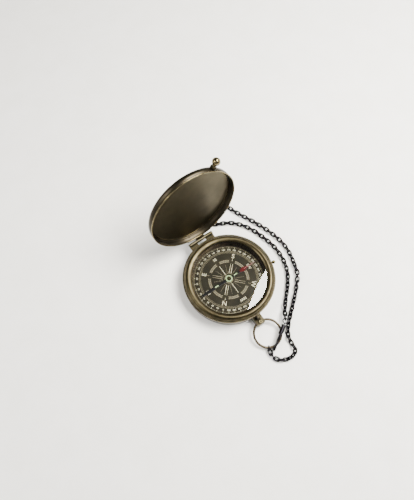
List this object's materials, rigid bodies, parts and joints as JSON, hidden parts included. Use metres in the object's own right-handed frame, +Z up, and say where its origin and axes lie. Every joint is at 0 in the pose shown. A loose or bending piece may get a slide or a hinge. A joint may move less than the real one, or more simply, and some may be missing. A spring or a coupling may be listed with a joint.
{
  "type": "pocket bearing compass",
  "caption": "Round lidded pocket compass: shallow case with a domed bezel, glass, needle over a dial, hinged lid, bow ring and link chain with a snap clasp.",
  "frame": {"origin": "centre of the case's flat bottom face", "axes": "+Z up through the dial and glass, +Y towards the lid hinge, -Y towards the bow ring"},
  "size_m": [0.098, 0.1508, 0.0894],
  "materials": {
    "aged_brass": "antiqued, brushed spun brass, darkened in the recesses",
    "polished_brass": "antiqued and hand polished",
    "brass_plain": "turned, not polished",
    "dark_bronze": "dark chemical bronze, satin",
    "glass": "flat mineral glass, polished",
    "printed_dial": "dark printed card with cream print, satin varnish",
    "blued_steel": "black lacquered steel, north end red",
    "steel_screw": "turned steel",
    "jewel": "synthetic ruby, polished",
    "luminous_paint": "pale green luminous paint",
    "nickel_wire": "polished drawn wire",
    "gunmetal": "gunmetal plated, glossy"
  },
  "bodies": {
    "root": {"bezel": "polished_brass", "bow_neck": "dark_bronze", "case": "aged_brass", "case_rivets": "polished_brass", "chain_loop": "gunmetal", "chain_run": "gunmetal", "dial": "printed_dial", "dial_plate": "brass_plain", "glass": "glass", "hinge_case_leaf": "aged_brass", "hinge_pin": "polished_brass", "joining_ring": "gunmetal", "lid_catch": "polished_brass", "lifter_bracket": "brass_plain", "lifter_pin": "steel_screw", "neck_screws": "steel_screw", "neck_stud": "polished_brass", "pivot_point": "blued_steel", "pivot_post": "brass_plain", "pivot_screw": "steel_screw", "step_ring": "aged_brass", "support_ring": "brass_plain"},
    "needle_unit": {"needle": "blued_steel", "needle_cap": "polished_brass", "needle_jewel": "jewel", "luminous_ring": "luminous_paint"},
    "lock": {"lock_slide": "brass_plain", "lock_knob": "polished_brass"},
    "lifter": {"lifter_lever": "brass_plain", "lifter_collar": "brass_plain"},
    "lid_unit": {"lid": "aged_brass", "lid_liner": "dark_bronze", "lid_knob": "polished_brass", "lid_knob_collar": "aged_brass", "hinge_lid_leaf": "aged_brass", "lid_rivets": "polished_brass"},
    "bow": {"bow_ring": "nickel_wire", "bow_link": "gunmetal", "clasp_body": "gunmetal", "gate_pin": "steel_screw"},
    "gate": {"clasp_gate": "gunmetal"},
    "swivel": {"clasp_swivel": "gunmetal"}
  },
  "joints": [
    {"name": "lid_hinge", "type": "hinge", "parent": "root", "child": "lid_unit", "pos_m": [0, 0.0407, 0.0122], "axis": [1, 0, 0], "range_deg": [0, 100.5]},
    {"name": "needle_spin", "type": "hinge", "parent": "root", "child": "needle_unit", "pos_m": [0, 0, 0.01], "axis": [0, 0, 1], "continuous": true},
    {"name": "lock_turn", "type": "hinge", "parent": "root", "child": "lock", "pos_m": [0, 0, 0.008], "axis": [0, 0, 1], "range_deg": [0, 12]},
    {"name": "lifter_tilt", "type": "hinge", "parent": "root", "child": "lifter", "pos_m": [-0.01414, 0.01414, 0.0029], "axis": [-0.7071, -0.7071, 0], "range_deg": [0, 2.58]},
    {"name": "bow_swing", "type": "hinge", "parent": "root", "child": "bow", "pos_m": [0, -0.043, 0.0062], "axis": [-1, 0, 0], "range_deg": [0, 80]},
    {"name": "gate_open", "type": "hinge", "parent": "bow", "child": "gate", "pos_m": [0.00464, -0.06115, 0.0048], "axis": [-0.5299, 0.848, 0], "range_deg": [0, 20], "stiffness_Nm_per_rad": 0.0005},
    {"name": "swivel_turn", "type": "hinge", "parent": "bow", "child": "swivel", "pos_m": [0.01736, -0.0532, 0.0063], "axis": [0.848, 0.5299, 0], "continuous": true}
  ],
  "couplings": [
    {"joint": "lifter_tilt", "follows": "lock_turn", "ratio": 0.215}
  ]
}
